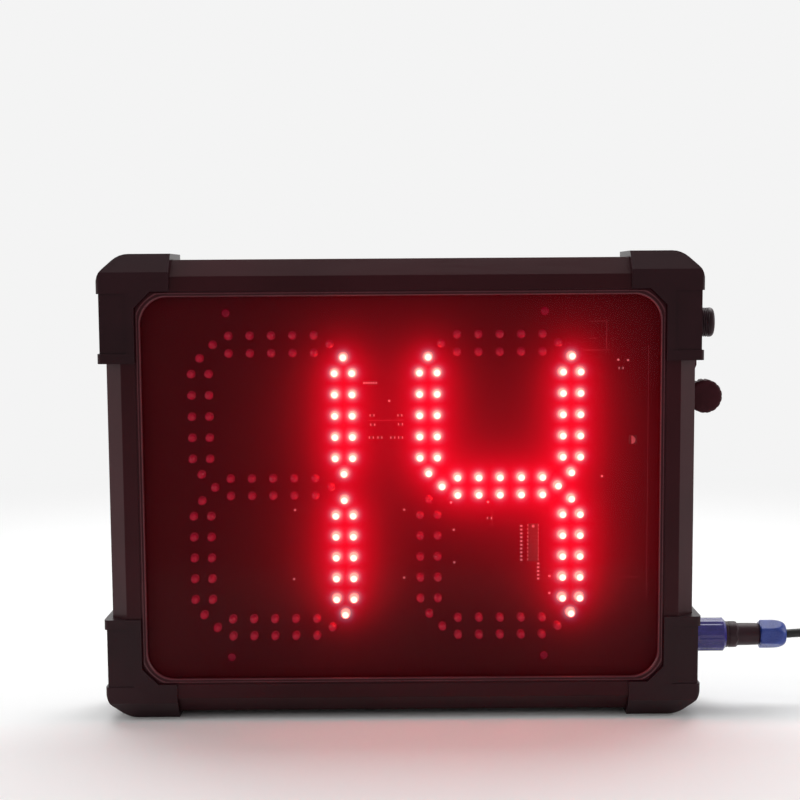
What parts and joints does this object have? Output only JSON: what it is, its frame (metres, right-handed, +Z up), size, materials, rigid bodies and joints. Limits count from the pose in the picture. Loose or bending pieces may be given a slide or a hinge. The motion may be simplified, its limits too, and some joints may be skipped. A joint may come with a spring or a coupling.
{
  "type": "countdown timer",
  "caption": "Outdoor LED countdown timer: black framed case with moulded corners, seven-segment red digits behind a window, side sockets and a power lead.",
  "frame": {"origin": "on the surface that it stands on, under the middle of the case, its sockets and the coupling ring", "axes": "+X to the right seen from the front, -Y out of the window, +Z up"},
  "size_m": [0.6237, 0.0972, 0.308],
  "materials": {
    "aluminium_black": "black anodised extrusion, fine satin grain",
    "corner_plastic": "moulded black ABS, fine texture",
    "window": "clear polycarbonate sheet",
    "gasket": "black silicone seal",
    "panel": "black powder coated sheet",
    "board": "black solder mask on glass fibre board",
    "leds": "red epoxy LED lenses",
    "steel": "zinc plated pan head screws",
    "brass": "turned brass standoffs",
    "chip": "black moulding compound",
    "control_board": "green solder mask board",
    "connector_black": "moulded black nylon",
    "connector_blue": "moulded blue nylon",
    "cap_rubber": "soft black moulding",
    "cord": "black PVC sheath",
    "tie": "black hook and loop strap",
    "dc_plug": "moulded black plug"
  },
  "bodies": {
    "case": {"top_rail": "aluminium_black", "bottom_rail": "aluminium_black", "left_rail": "aluminium_black", "right_rail": "aluminium_black", "top_left_corner": "corner_plastic", "top_right_corner": "corner_plastic", "bottom_left_corner": "corner_plastic", "bottom_right_corner": "corner_plastic", "front_window": "window", "window_gasket": "gasket", "back_panel": "panel", "digit_board": "board", "tens_segment_a": "leds", "tens_segment_b": "leds", "tens_segment_c": "leds", "tens_segment_d": "leds", "tens_segment_e": "leds", "tens_segment_f": "leds", "tens_segment_g": "leds", "ones_segment_a": "leds", "ones_segment_b": "leds", "ones_segment_c": "leds", "ones_segment_d": "leds", "ones_segment_e": "leds", "ones_segment_f": "leds", "ones_segment_g": "leds", "board_screw_top_left": "steel", "board_screw_top_right": "steel", "board_screw_bottom_left": "steel", "board_screw_bottom_right": "steel", "panel_screw_top_left": "steel", "panel_screw_top_right": "steel", "panel_screw_bottom_left": "steel", "panel_screw_bottom_right": "steel", "board_standoff_top_left": "brass", "board_standoff_top_right": "brass", "board_standoff_bottom_left": "brass", "board_standoff_bottom_right": "brass", "driver_chip": "chip", "light_receiver": "chip", "power_module": "chip", "control_board": "control_board", "power_socket": "connector_black", "power_socket_nut": "connector_black", "spare_socket": "connector_black", "spare_socket_nut": "connector_black", "plug_body": "connector_black", "gland_nut": "connector_blue", "power_cord": "cord", "cord_tail": "cord", "cord_coil": "cord", "power_wires": "cord", "signal_wires": "cord", "board_wires": "cord", "cord_tie": "tie", "dc_plug": "dc_plug"},
    "cap": {"dust_cap": "cap_rubber", "cap_strap": "cap_rubber"},
    "ring": {"coupling_ring": "connector_blue"}
  },
  "joints": [
    {"name": "cap_swing", "type": "hinge", "parent": "case", "child": "cap", "pos_m": [0.193, 0.01, 0.2605], "axis": [1, 0, 0], "range_deg": [-30, 30]},
    {"name": "ring_turn", "type": "hinge", "parent": "case", "child": "ring", "pos_m": [0.187, 0.01, 0.0475], "axis": [1, 0, 0], "range_deg": [0, 360]}
  ]
}
